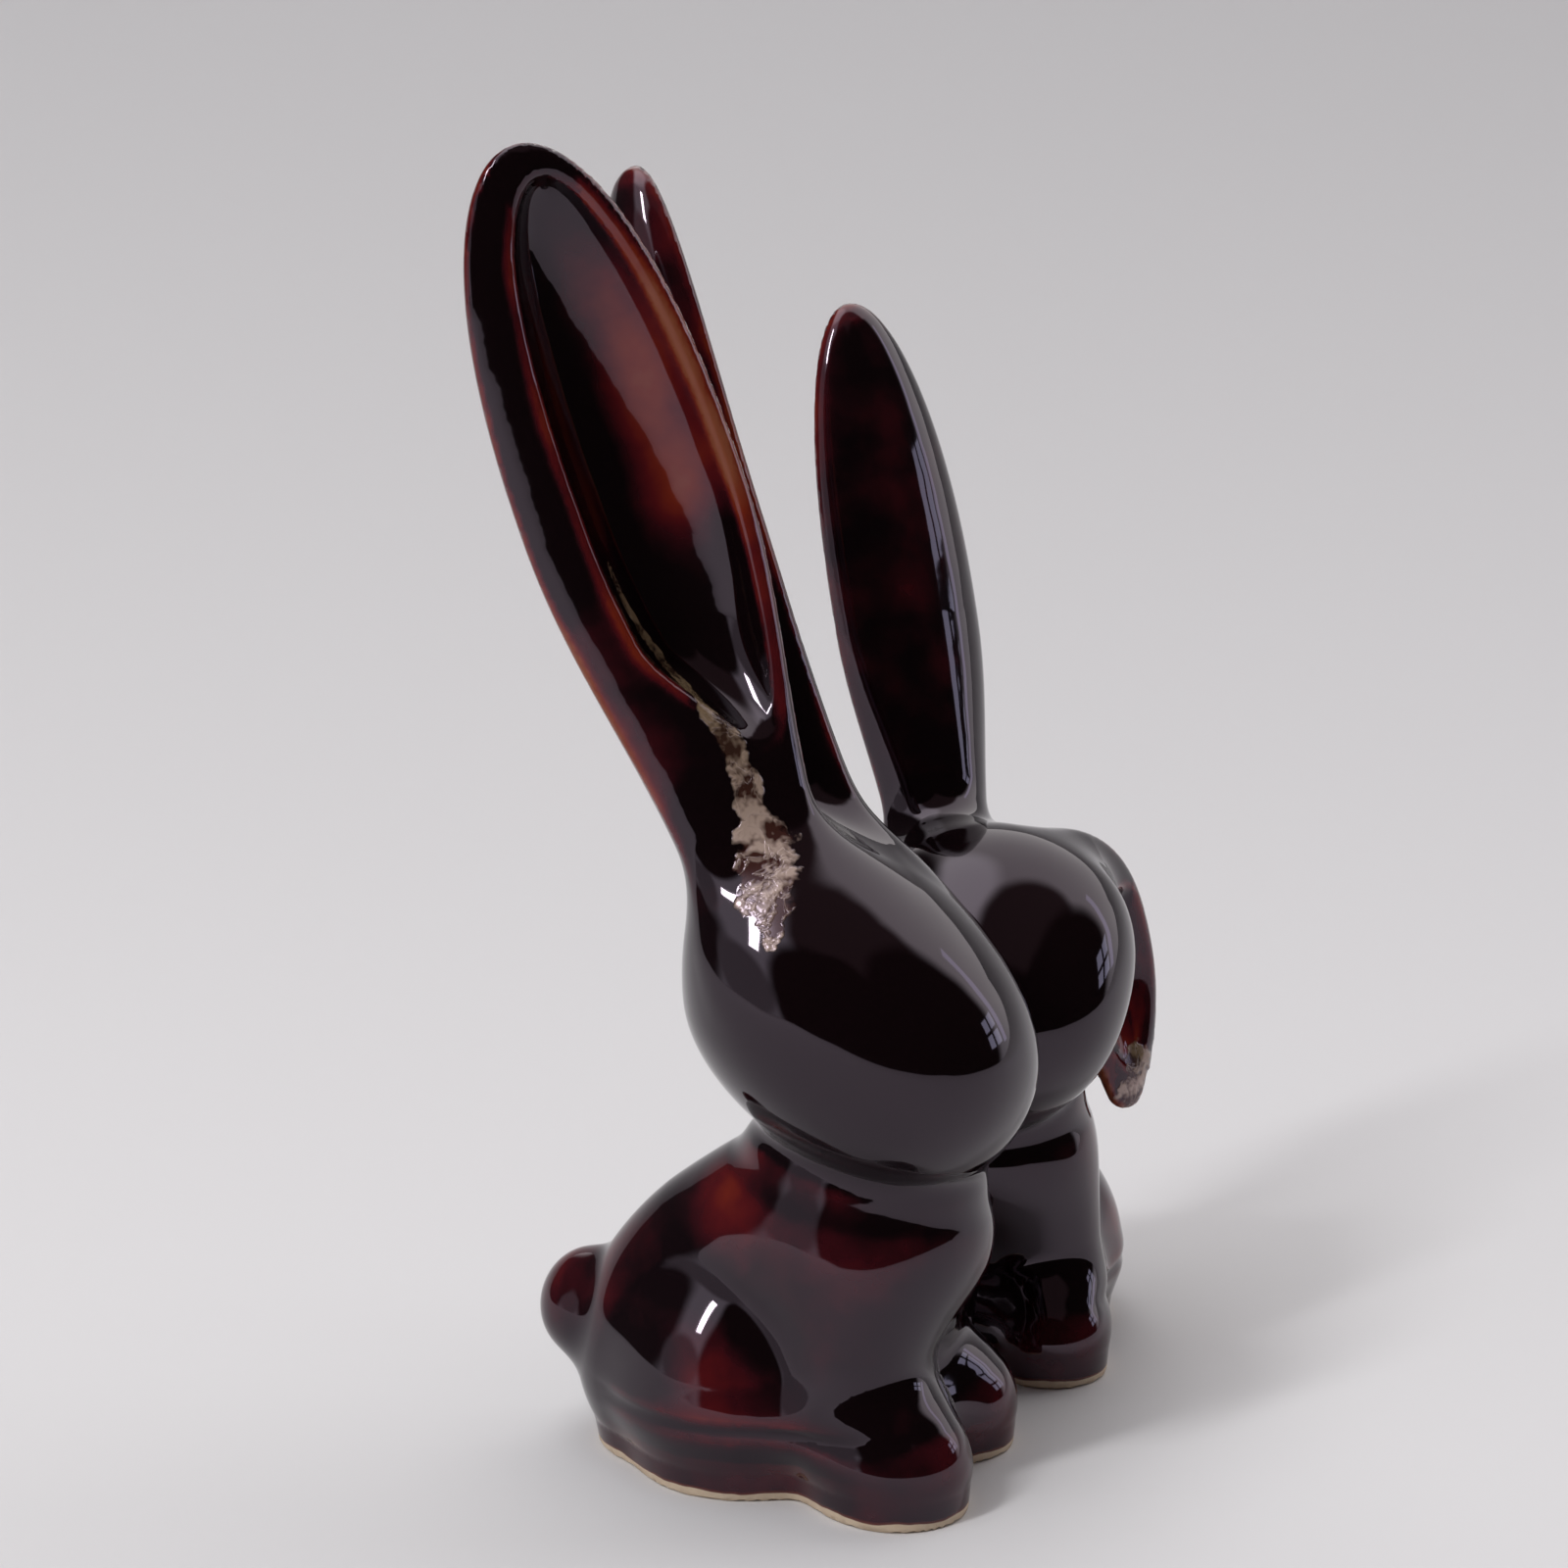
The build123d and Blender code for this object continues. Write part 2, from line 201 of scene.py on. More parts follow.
def head_skin(p, forward):
    x, y, z = p[:, 0] - forward, p[:, 1] / HEAD_SPREAD, p[:, 2]
    skull = np.sqrt((x - SKULL[0]) ** 2 + y ** 2 + (z - SKULL[1]) ** 2) - SKULL_R
    muzzle = np.sqrt((x - MUZZLE[0]) ** 2 + y ** 2 + (z - MUZZLE[1]) ** 2) - MUZZLE_R
    return soft_min(skull, muzzle, HEAD_BLEND)


def ear_spine(spec):
    """Centre line of one ear, its directions, and the half width and depth of its lower part."""
    t = np.linspace(0, 1, EAR_SAMPLES)
    a, m, c = (np.array(v, float) for v in spec["line"])
    b = 2 * m - 0.5 * (a + c)
    s = t[:, None]
    centre = (1 - s) ** 2 * a + 2 * s * (1 - s) * b + s ** 2 * c
    along = 2 * (1 - s) * (b - a) + 2 * s * (c - b)
    along /= np.linalg.norm(along, axis=1, keepdims=True)
    face = math.radians(spec["faces"])
    faces = np.array((math.cos(face), math.sin(face), 0.0))
    out = faces - along * (along @ faces)[:, None]
    out /= np.linalg.norm(out, axis=1, keepdims=True)
    up = np.clip(t / spec["widest"], 0, 1)
    half = EAR_ROOT_HALF + (spec["half"] - EAR_ROOT_HALF) * (0.5 - 0.5 * np.cos(np.pi * up))
    depth = EAR_ROOT_DEPTH + (spec["depth"] - EAR_ROOT_DEPTH) * up ** EAR_DEPTH_RISE
    return dict(centre=centre, along=along, out=out, side=np.cross(along, out), half=half, depth=depth,
                length=np.linalg.norm(np.diff(centre, axis=0), axis=1).sum(), reach=spec["half"],
                widest=spec["widest"], lean=spec["lean"], band=spec["band"], dish=spec["dish"])


def ear_place(p, ear):
    """Where points lie on the ear: share of its length, mm sideways and outward, half width, depth."""
    centre, along = ear["centre"], ear["along"]
    last = EAR_SAMPLES - 1
    f = ((p[:, None, :] - centre[None, ::EAR_STRIDE]) ** 2).sum(2).argmin(1) * float(EAR_STRIDE)
    step = ear["length"] / last
    for _ in range(EAR_ROUNDS):
        inside = np.clip(f, 0, last)
        i = np.clip(np.floor(inside).astype(int), 0, last - 1)
        r = (inside - i)[:, None]
        c = centre[i] * (1 - r) + centre[i + 1] * r
        way = along[i] * (1 - r) + along[i + 1] * r
        s = ((p - c) * way).sum(1)
        f = inside + s / step
    q = p - c - way * s[:, None]
    side = ear["side"][i] * (1 - r) + ear["side"][i + 1] * r
    out = ear["out"][i] * (1 - r) + ear["out"][i + 1] * r
    grid = np.arange(EAR_SAMPLES)
    return (f / last, (q * side).sum(1), (q * out).sum(1),
            np.interp(f, grid, ear["half"]), np.interp(f, grid, ear["depth"]))


def egg_way(u, v, w, a, b, c):
    """Distance past an egg of half sizes a, b, c; w already runs from 0 to 1 at its end."""
    k0 = np.sqrt((u / a) ** 2 + (v / b) ** 2 + w ** 2) + 1e-6
    k1 = np.sqrt((u / a ** 2) ** 2 + (v / b ** 2) ** 2 + (w / c) ** 2) + 1e-6
    return k0 * (k0 - 1) / k1


def ear_near(p, ear):
    """Leaf with a thick round back, dished in front between two rims."""
    t, u, v, half, depth = ear_place(p, ear)
    above = (1 - ear["widest"]) * ear["length"]
    x = np.maximum(t - ear["widest"], 0) / (1 - ear["widest"])
    tip = np.sqrt(np.clip(1 - x ** EAR_TIP_ROUND, EAR_TIP_LEAST, 1))
    depth = depth * tip ** -EAR_TIP_THICKER
    # Above its widest place the leaf closes like the end of an egg, below its root it rounds off
    root = np.maximum(-t * ear["length"], 0) / EAR_ROOT_DEPTH
    end = np.where(t < 0, root, x ** EAR_END_ROUND)
    length = np.where(t < 0, EAR_ROOT_DEPTH, above)
    d = egg_way(u, v, end, half, np.where(v > 0, depth * EAR_FRONT_SHARE, depth), length)
    # The hollow opens above the root, beside a band that narrows towards the tip
    ramp = np.clip((t - EAR_HOLLOW_START) / EAR_RAMP_SHARE, 0, 1)
    ramp = ramp * ramp * (3 - 2 * ramp)
    front = (depth * EAR_FRONT_SHARE * np.sqrt(np.clip(1 - x ** EAR_TIP_ROUND, 0, 1))
             + EAR_FRONT_GAP + EAR_FADE * (1 - ramp) ** 3)
    x_in = np.maximum(t - ear["widest"], 0) * ear["length"] / (above - EAR_END)
    room = half - EAR_RIM - abs(ear["band"]) / 2
    wide = room * (EAR_START_WIDE + (1 - EAR_START_WIDE) * ramp)
    band = ear["band"] / 2 * np.clip(1 - x_in, EAR_BAND_LEAST, 1) ** EAR_BAND_FADE
    lean = ear["lean"] * (room - wide) + band
    dish = EAR_DISH_SHARE * ear["dish"] * depth * ramp + EAR_DISH_LEAST
    hollow = egg_way(u - lean, v - front, x_in ** EAR_END_ROUND, wide, dish, above)
    hollow = np.where(ramp <= 0, EAR_NO_HOLLOW, hollow)
    return soft_max(d, -hollow, EAR_RIM_SOFT)


def ear_skin(p, ear):
    a, b = ear["centre"][0], ear["centre"][-1]
    ab = b - a
    h = np.clip(((p - a) @ ab) / (ab @ ab), 0, 1)
    # The middle of the ear bows out from the straight line between its ends
    bow = np.linalg.norm(np.cross(ear["centre"] - a, ab), axis=1).max() / np.linalg.norm(ab)
    d = np.linalg.norm(p - a - h[:, None] * ab, axis=1) - ear["reach"] - bow - EAR_MARGIN
    near = d < EAR_BLEND + EAR_CLOSE
    d[near] = ear_near(p[near], ear)
    return d


def rabbit_skin(p, ears, forward):
    """Outside of one rabbit: clay lumps, head and ears run together."""
    z = p[:, 2]
    low = p.copy()
    low[:, 2] = np.where(z < FOOT_HEIGHT, FOOT_HEIGHT - (FOOT_HEIGHT - z) * FOOT_TURN, z)
    d = soft_min(body_skin(low), lump(p, *NECK_ROLL[:3]), NECK_ROLL[3])
    head = head_skin(p, forward)
    for ear in ears:
        head = soft_min(head, ear_skin(p, ear), EAR_BLEND)
    return soft_min(d, head, NECK_CREASE)


def casting_hollow(p):
    """Inside of the casting: chamber, vent hole and the sunk part of the foot."""
    high = p.copy()
    high[:, 2] = np.maximum(p[:, 2], CHAMBER_LOW)
    chamber = np.maximum(body_skin(high) + WALL, FLOOR - p[:, 2])
    foot = p.copy()
    foot[:, 2] = FOOT_HEIGHT - FOOT_HEIGHT * FOOT_TURN
    recess = soft_max(body_skin(foot) + FOOT_RING, p[:, 2] - FOOT_RECESS, RECESS_SOFT)
    hole = np.hypot(p[:, 0] - VENT_HOLE_X, p[:, 1]) - VENT_HOLE_R
    hole = soft_max(hole, p[:, 2] - FLOOR - VENT_HOLE_OVER, VENT_HOLE_SOFT)
    return soft_min(soft_min(chamber, hole, HOLLOW_SOFT), recess, HOLLOW_SOFT)


class Rabbit:
    """One rabbit: its clay form, and the turn from its own frame to the pair's."""
    def __init__(self, name, place, turn, share, forward, box):
        a = math.radians(turn - 90)
        self.name, self.share, self.forward, self.box = name, share, forward, box
        self.turn = np.array([[math.cos(a), -math.sin(a), 0], [math.sin(a), math.cos(a), 0], [0, 0, 1]])
        self.place = np.array([place[0], place[1], 0.0])
        self.ears = {k: ear_spine(v) for k, v in EARS.items() if k.startswith(name)}

    def own(self, world):
        return (world - self.place) @ self.turn / self.share

    def world(self, own):
        return own * self.share @ self.turn.T + self.place

    def skin(self, own):
        return rabbit_skin(own, list(self.ears.values()), self.forward)


TALL = Rabbit("tall_rabbit", TALL_PLACE, TALL_TURN, 1.0, 0.0, TALL_BOX)
SMALL = Rabbit("small_rabbit", SMALL_PLACE, SMALL_TURN, SMALL_SHARE, SMALL_HEAD_FORWARD, SMALL_BOX)
TALL.other, SMALL.other = SMALL, TALL
TALL.sign, SMALL.sign = 1, -1


def whole_skin(p, rabbit):
    """Clay of one rabbit, flat on the table, and stuck to the other at the cheek."""
    d = rabbit.skin(p)
    world = rabbit.world(p)
    close = np.linalg.norm(world - CHEEK_POINT, axis=1) < CHEEK_REACH
    if close.any():
        other = rabbit.other
        theirs = other.skin(other.own(world[close])) * other.share / rabbit.share
        joined = soft_min(d[close], theirs, CHEEK_FILLET)
        beyond = ((world[close] - CHEEK_POINT) @ CHEEK_WAY) * rabbit.sign / rabbit.share
        d[close] = np.maximum(joined, beyond)
    low = p[:, 2] < HOLLOW_TOP
    d[low] = np.maximum(d[low], -casting_hollow(p[low]))
    return soft_max(d, -p[:, 2], TABLE_SOFT)


def skin_mesh(rabbit, step):
    """Faces wrapped round the form: one point in each small cell that the skin passes through."""
    low, high = (np.array(v, float) for v in rabbit.box)
    coarse = COARSE_CELLS * step
    n = np.ceil((high - low) / coarse).astype(int) + 1
    axes = [low[i] + coarse * np.arange(n[i]) for i in range(3)]
    grid = np.stack(np.meshgrid(*axes, indexing="ij"), -1).reshape(-1, 3)
    rough = whole_skin(grid, rabbit).reshape(n)
    size = (n - 1) * COARSE_CELLS + 1
    near = [np.minimum((np.arange(size[i]) + COARSE_CELLS // 2) // COARSE_CELLS, n[i] - 1)
            for i in range(3)]
    value = rough[np.ix_(*near)].astype(np.float32)
    todo = np.abs(value) < coarse * COARSE_REACH
    at = np.argwhere(todo)
    out = np.empty(len(at), np.float32)
    for i in range(0, len(at), BATCH):
        out[i:i + BATCH] = whole_skin(low + at[i:i + BATCH] * step, rabbit)
    value[todo] = out
    inside = value < 0

    def at_corner(grid, c):
        return grid[tuple(slice(c[i], c[i] + size[i] - 1) for i in range(3))]

    # Each point is the mean of the places where the skin crosses its cell's edges
    total = np.zeros([s - 1 for s in size] + [3], np.float32)
    count = np.zeros([s - 1 for s in size], np.float32)
    for a in [(i, j, k) for i in (0, 1) for j in (0, 1) for k in (0, 1)]:
        for axis in range(3):
            if a[axis]:
                continue
            b = tuple(a[i] + (i == axis) for i in range(3))
            va, vb = at_corner(value, a), at_corner(value, b)
            hit = at_corner(inside, a) != at_corner(inside, b)
            f = va[hit] / (va[hit] - vb[hit])
            for i in range(3):
                total[..., i][hit] += a[i] + (f if i == axis else 0)
            count[hit] += 1
    cells = count > 0
    index = np.full(count.shape, -1)
    index[cells] = np.arange(cells.sum())
    points = low + (np.argwhere(cells) + total[cells] / count[cells][:, None]) * step

    # Each crossed edge is closed by a face between its four cells, turned outward
    faces = []
    for axis in range(3):
        u, v = (axis + 1) % 3, (axis + 2) % 3
        one = [slice(1, -1)] * 3
        one[axis] = slice(0, -1)
        two = list(one)
        two[axis] = slice(1, None)
        a, b = inside[tuple(one)], inside[tuple(two)]
        for flip, mask in ((False, a & ~b), (True, ~a & b)):
            e = np.argwhere(mask) + [0 if i == axis else 1 for i in range(3)]
            quad = []
            for du, dv in ((-1, -1), (0, -1), (0, 0), (-1, 0)):
                c = e.copy()
                c[:, u] += du
                c[:, v] += dv
                quad.append(index[c[:, 0], c[:, 1], c[:, 2]])
            faces.append(np.stack(quad[::-1] if flip else quad, 1))
    return points, np.concatenate(faces)


def skin_beside(points, rabbit, h):
    """Value of the form h mm ahead of and behind the points, for each axis."""
    return [(whole_skin(points + step, rabbit), whole_skin(points - step, rabbit))
            for step in h * np.eye(3)]


def skin_way(points, rabbit):
    """Value and outward direction of the form at points."""
    beside = skin_beside(points, rabbit, SLOPE_STEP)
    way = np.stack([ahead - behind for ahead, behind in beside], 1) / (2 * SLOPE_STEP)
    return whole_skin(points, rabbit), way


def on_skin(points, rabbit):
    for _ in range(SETTLE_ROUNDS):
        d, way = skin_way(points, rabbit)
        move = -d[:, None] * way / np.maximum((way * way).sum(1), SLOPE_LEAST)[:, None]
        reach = np.linalg.norm(move, axis=1, keepdims=True)
        points = points + move * np.minimum(1, SETTLE_MOST / np.maximum(reach, 1e-9))
    points[:, 2] = np.maximum(points[:, 2], 0)
    return points


# Where the fired glaze ran thin, in the rabbit's frame on both sides: place, reach in mm, how thin
THIN_PLACES = [
    ((-4, 12.5, 42), 8, 0.55),   # behind the neck roll
    ((13, 16, 37), 8, 0.20),     # shoulder
    ((-2, 20, 16), 8, 0.35),     # side of the haunch
    ((-24, 8, 27), 9, 0.25),     # rump above the tail
]
# The same on the ears: share of the length, of the half width, reach as a share, how thin
THIN_EAR_PLACES = {
    "tall_rabbit_right_ear": [
        (0.52, 0.66, 0.08, 0.60), (0.66, 0.60, 0.10, 0.75), (0.80, 0.45, 0.09, 0.45),
        (0.24, -1.0, 0.10, 0.50), (0.36, -1.0, 0.09, 0.40), (0.62, -0.9, 0.20, 0.15)],
    "tall_rabbit_left_ear": [(0.80, 0.8, 0.20, 0.70), (0.55, -0.8, 0.15, 0.55)],
    "small_rabbit_raised_ear": [(0.70, 0, 0.30, 0.20)],
    "small_rabbit_folded_ear": [
        (0.25, 0, 0.30, 0.35), (0.75, 0, 0.35, 0.45), (0.45, 0.9, 0.45, 0.30), (0.45, -0.9, 0.45, 0.30)],
}
THIN_EAR_ACROSS = 0.45
# Bend of the skin, per mm, that thins the glaze, measured over 1 mm, and the bounds of its effect
BEND_STEP = 1.0
BEND_START, BEND_SPAN = 0.16, 0.80
BEND_THICK, BEND_THIN = -0.4, 0.30
# How much thinner the glaze is: near the foot, on the body, the head, an ear, its tip and its channel
THIN_FOOT, THIN_FOOT_TOP = 0.05, 6.0
THIN_BODY, THIN_HEAD, THIN_HEAD_RISE = 0.10, -0.08, 2.0
THIN_EAR, THIN_EAR_NEAR = 0.18, 2.0
THIN_TIP, THIN_TIP_START, THIN_TIP_SPAN = 0.12, 0.8, 0.2
THICK_CHANNEL, CHANNEL_MIDDLE, CHANNEL_HALF = 0.30, 0.1, 0.3
THIN_ROOT_START, THIN_ROOT_SPAN = -0.05, 0.15

# Run of milky rutile glaze down the tall rabbit's right ear, and a drop of it at the folded ear's tip:
# points on the skin in the rabbit's frame, and the half width there
RUTILE = {
    "tall_rabbit": [(-19.8, -11.7, 123.1, 0.5), (-17.5, -10.9, 117.4, 0.8), (-14.5, -8.3, 111.5, 0.9),
                    (-10.2, -9.0, 107.3, 1.1), (-6.3, -11.4, 105.0, 1.5), (-3.9, -11.2, 102.1, 1.6),
                    (-2.3, -11.2, 98.4, 1.7), (-0.8, -11.2, 94.6, 1.9), (0.3, -11.7, 91.0, 2.4),
                    (1.9, -12.4, 88.0, 3.6), (2.9, -14.6, 84.6, 4.3), (3.7, -16.7, 81.9, 3.8),
                    (4.9, -18.6, 79.2, 2.2), (5.6, -20.3, 76.5, 0.9)],
    "small_rabbit": [(-8.0, 21.0, 46.5, 1.5), (-7.0, 21.5, 42.5, 4.0), (-5.5, 21.3, 39.0, 3.5)],
}
RUTILE_FAR = -3.0


def thinness(points, rabbit):
    """How thin the glaze lies: it draws back from sharp rims and leaves the high places."""
    bend = -6 * whole_skin(points, rabbit)
    for ahead, behind in skin_beside(points, rabbit, BEND_STEP):
        bend += ahead + behind
    thin = np.clip((bend / BEND_STEP ** 2 - BEND_START) / BEND_SPAN, BEND_THICK, BEND_THIN)
    thin[points[:, 2] < THIN_FOOT_TOP] = THIN_FOOT
    both = left_side(points)
    for place, reach, amount in THIN_PLACES:
        thin += amount * np.exp(-((both - place) ** 2).sum(1) / reach ** 2)
    head = head_skin(points, rabbit.forward)
    # The body hung lower in the dip and drained more than the head
    thin += np.where(points[:, 2] < NECK_POINT[2] + THIN_HEAD_RISE, THIN_BODY, THIN_HEAD)
    for name, ear in rabbit.ears.items():
        on = (ear_skin(points, ear) < THIN_EAR_NEAR) & (head > -THIN_EAR_NEAR)
        t, u, v, half, _ = ear_place(points[on], ear)
        tip = np.clip((t - THIN_TIP_START) / THIN_TIP_SPAN, 0, 1)
        channel = (np.abs(u / half - CHANNEL_MIDDLE) < CHANNEL_HALF) * (v > 0)
        more = THIN_EAR + THIN_TIP * tip - THICK_CHANNEL * channel
        for along, across, reach, amount in THIN_EAR_PLACES[name]:
            more += amount * np.exp(-((t - along) / reach) ** 2
                                    - ((u / half - across) / THIN_EAR_ACROSS) ** 2)
        thin[on] += more * np.clip((t - THIN_ROOT_START) / THIN_ROOT_SPAN, 0, 1)
    return thin


def rutile(points, rabbit):
    """1 on the middle line of the rutile run, 0 at its edge, and how far down the run each point is."""
    line = np.array(RUTILE[rabbit.name])
    best = np.full(len(points), RUTILE_FAR)
    down = np.zeros(len(points))
    for i in range(len(line) - 1):
        a, b = line[i], line[i + 1]
        ab = b[:3] - a[:3]
        s = np.clip((points - a[:3]) @ ab / (ab @ ab), 0, 1)
        wide = a[3] + (b[3] - a[3]) * s
        near = 1 - np.linalg.norm(points - a[:3] - s[:, None] * ab, axis=1) / wide
        nearer = near > best
        best[nearer] = near[nearer]
        down[nearer] = ((i + s) / (len(line) - 1))[nearer]
    return best, down


def srgb(text):
    """Hex colour as linear light."""
    v = [int(text[i:i + 2], 16) / 255 for i in (1, 3, 5)]
    return tuple(c / 12.92 if c <= 0.04045 else ((c + 0.055) / 1.055) ** 2.4 for c in v) + (1.0,)


def add(tree, kind, settings=None, links=None):
    """Adds one node with its settings and what feeds it: a socket, or a node by its first output."""
    node = tree.nodes.new(kind)
    for key, value in (settings or {}).items():
        if isinstance(key, str) and key in node.bl_rna.properties:
            setattr(node, key, value)
        else:
            node.inputs[key].default_value = value
    for key, source in (links or {}).items():
        tree.links.new(getattr(source, "outputs", [source])[0], node.inputs[key])
    return node


def new_material(name):
    m = bpy.data.materials.new(name)
    m.use_nodes = True
    m.node_tree.nodes.clear()
    return m, m.node_tree


# Colour of the fired glaze, from thick to thin
GLAZE_COLOURS = [(0.0, "#0e0608"), (0.1, "#1c090d"), (0.25, "#370e14"), (0.45, "#541417"),
                 (0.70, "#742717"), (1.0, "#854a33")]


def glazed_earthenware():
    """Slip-cast clay under one dipped and fired glaze: glossy, near black where it lies thick,
    red-brown where it thins, with a milky rutile run, and bare cream clay at the foot."""
    m, t = new_material("oxblood_glazed_earthenware")
    where = add(t, "ShaderNodeTexCoord").outputs["Object"]
    thin, run, down, unglazed = (
        add(t, "ShaderNodeAttribute", {"attribute_name": name}).outputs["Fac"]
        for name in ("thin_glaze", "rutile", "rutile_down", "bare_clay"))

    # Clouds of 10 mm in the depth of the glaze move its colour between oxblood and black
    clouds = add(t, "ShaderNodeTexNoise", {"Scale": 95.0, "Detail": 3.0, "Roughness": 0.55},
                 {"Vector": where})
    cloudy = add(t, "ShaderNodeMath", {"operation": "MULTIPLY_ADD", 1: 0.8, 2: -0.38}, {0: clouds})
    depth = add(t, "ShaderNodeMath", {"operation": "ADD"}, {0: thin, 1: cloudy})
    glaze = add(t, "ShaderNodeValToRGB", links={"Fac": depth})
    ramp = glaze.color_ramp.elements
    ramp.remove(ramp[1])
    ramp[0].color = srgb(GLAZE_COLOURS[0][1])
    for place, colour in GLAZE_COLOURS[1:]:
        ramp.new(place).color = srgb(colour)

    # The rutile's edge wanders in steps of 2.4 mm
    wander = add(t, "ShaderNodeTexNoise", {"Scale": 420.0, "Detail": 2.0}, {"Vector": where})
    ragged = add(t, "ShaderNodeMath", {"operation": "MULTIPLY_ADD", 1: 1.7, 2: -0.85}, {0: wander})
    edge = add(t, "ShaderNodeMath", {"operation": "ADD"}, {0: run, 1: ragged})
    on_run = add(t, "ShaderNodeMapRange", {"From Min": 0.0, "From Max": 0.2}, {"Value": edge})
    # It breaks into cream clouds of 5 mm and thin flowing marks of about 1.5 mm, over brown
    worms = add(t, "ShaderNodeTexNoise",
                {"Scale": 300.0, "Detail": 3.0, "Roughness": 0.6, "Distortion": 0.9}, {"Vector": where})
    off_ridge = add(t, "ShaderNodeMath", {"operation": "SUBTRACT", 1: 0.5}, {0: worms})
    ridge = add(t, "ShaderNodeMath", {"operation": "ABSOLUTE"}, {0: off_ridge})
    thin_mark = add(t, "ShaderNodeMapRange", {"From Min": 0.05, "From Max": 0.0}, {"Value": ridge})
    cloud = add(t, "ShaderNodeTexNoise", {"Scale": 210.0, "Detail": 3.0, "Roughness": 0.65},
                {"Vector": where})
    clouded = add(t, "ShaderNodeMapRange", {"From Min": 0.46, "From Max": 0.58}, {"Value": cloud})
    vein = add(t, "ShaderNodeMath", {"operation": "MULTIPLY_ADD", 1: 0.45}, {0: thin_mark, 2: clouded})
    # It is darker and browner at the top of its run than at the end
    milky = add(t, "ShaderNodeMixRGB", {"Color1": srgb("#3c1f19"), "Color2": srgb("#b8a297")},
                {"Fac": vein})
    streak = add(t, "ShaderNodeMixRGB", {"Color1": srgb("#33231a"), "Color2": srgb("#7c6850")},
                 {"Fac": vein})
    lower = add(t, "ShaderNodeMapRange", {"From Min": 0.30, "From Max": 0.75}, {"Value": down})
    rutile_colour = add(t, "ShaderNodeMixRGB", links={"Fac": lower, "Color1": streak, "Color2": milky})
    coloured = add(t, "ShaderNodeMixRGB",
                   links={"Fac": on_run, "Color1": glaze, "Color2": rutile_colour})

    # The glaze was wiped off the foot: a line about 1.2 mm up that wavers every 7 mm, rusty for 0.5 mm
    height = add(t, "ShaderNodeSeparateXYZ", links={"Vector": where}).outputs["Z"]
    waves = add(t, "ShaderNodeTexNoise", {"Scale": 150.0, "Detail": 2.0}, {"Vector": where})
    line = add(t, "ShaderNodeMath", {"operation": "MULTIPLY_ADD", 1: 1.2 * MM, 2: 0.6 * MM}, {0: waves})
    above = add(t, "ShaderNodeMath", {"operation": "SUBTRACT"}, {0: height, 1: line})
    bare_foot = add(t, "ShaderNodeMapRange", {"From Min": 0.08 * MM, "From Max": -0.04 * MM},
                    {"Value": above})
    rusty = add(t, "ShaderNodeMapRange", {"From Min": 0.5 * MM, "From Max": 0.0}, {"Value": above})
    ended = add(t, "ShaderNodeMixRGB", {"Color2": srgb("#6a3424")}, {"Fac": rusty, "Color1": coloured})
    bare = add(t, "ShaderNodeMath", {"operation": "MAXIMUM"}, {0: bare_foot, 1: unglazed})
    # Grains of the bare clay are drawn as coarse as 1 mm, or they wouldn't show
    grain = add(t, "ShaderNodeTexNoise", {"Scale": 900.0, "Detail": 4.0}, {"Vector": where})
    clay = add(t, "ShaderNodeMixRGB", {"Color1": srgb("#cdb79b"), "Color2": srgb("#e0cfb6")},
               {"Fac": grain})
    colour = add(t, "ShaderNodeMixRGB", links={"Fac": bare, "Color1": ended, "Color2": clay})

    # Glass-smooth, a little rougher on the rutile, weaker where it soaked in thin, dry on the bare clay
    lustre = add(t, "ShaderNodeMapRange",
                 {"From Min": 0.7, "From Max": 0.95, "To Min": 0.5, "To Max": 0.18}, {"Value": thin})
    milky_rough = add(t, "ShaderNodeMath", {"operation": "MULTIPLY_ADD", 1: 0.14, 2: 0.045}, {0: on_run})
    rough = add(t, "ShaderNodeMapRange", {"To Max": 0.85}, {"Value": bare, "To Min": milky_rough})

    # The glaze is never quite level: long low waves of 7 mm, and the rutile's marks stand up a little
    swell = add(t, "ShaderNodeTexNoise", {"Scale": 140.0, "Detail": 1.0}, {"Vector": where})
    raised = add(t, "ShaderNodeMath", {"operation": "MULTIPLY"}, {0: vein, 1: on_run})
    relief = add(t, "ShaderNodeMath", {"operation": "MULTIPLY_ADD", 1: 1.4}, {0: raised, 2: swell})
    bump = add(t, "ShaderNodeBump", {"Strength": 1.0, "Distance": 0.07 * MM}, {"Height": relief})
    shader = add(t, "ShaderNodeBsdfPrincipled", {"IOR": 1.56, "Specular Tint": srgb("#ffecff")},
                 {"Base Color": colour, "Roughness": rough, "Specular IOR Level": lustre, "Normal": bump})
    add(t, "ShaderNodeOutputMaterial", links={"Surface": shader})
    return m


GLAZE = glazed_earthenware()


def which_node(points, rabbit):
    """Piece that each point goes to: 0 for the body, below the neck's plane. Above it, 2 or 3 for the
    first ear in the list that lies nearer than the head, and 1 for the head where none does."""
    tilt = math.radians(NECK_TILT)
    above = ((points[:, 0] - NECK_POINT[0]) * math.sin(tilt)
             + (points[:, 2] - NECK_POINT[2]) * math.cos(tilt))
    owner = np.where(above > 0, 1, 0)
    head = head_skin(points, rabbit.forward)
    for i, ear in enumerate(rabbit.ears.values()):
        owner[(ear_skin(points, ear) < head) & (owner == 1)] = 2 + i
    return owner


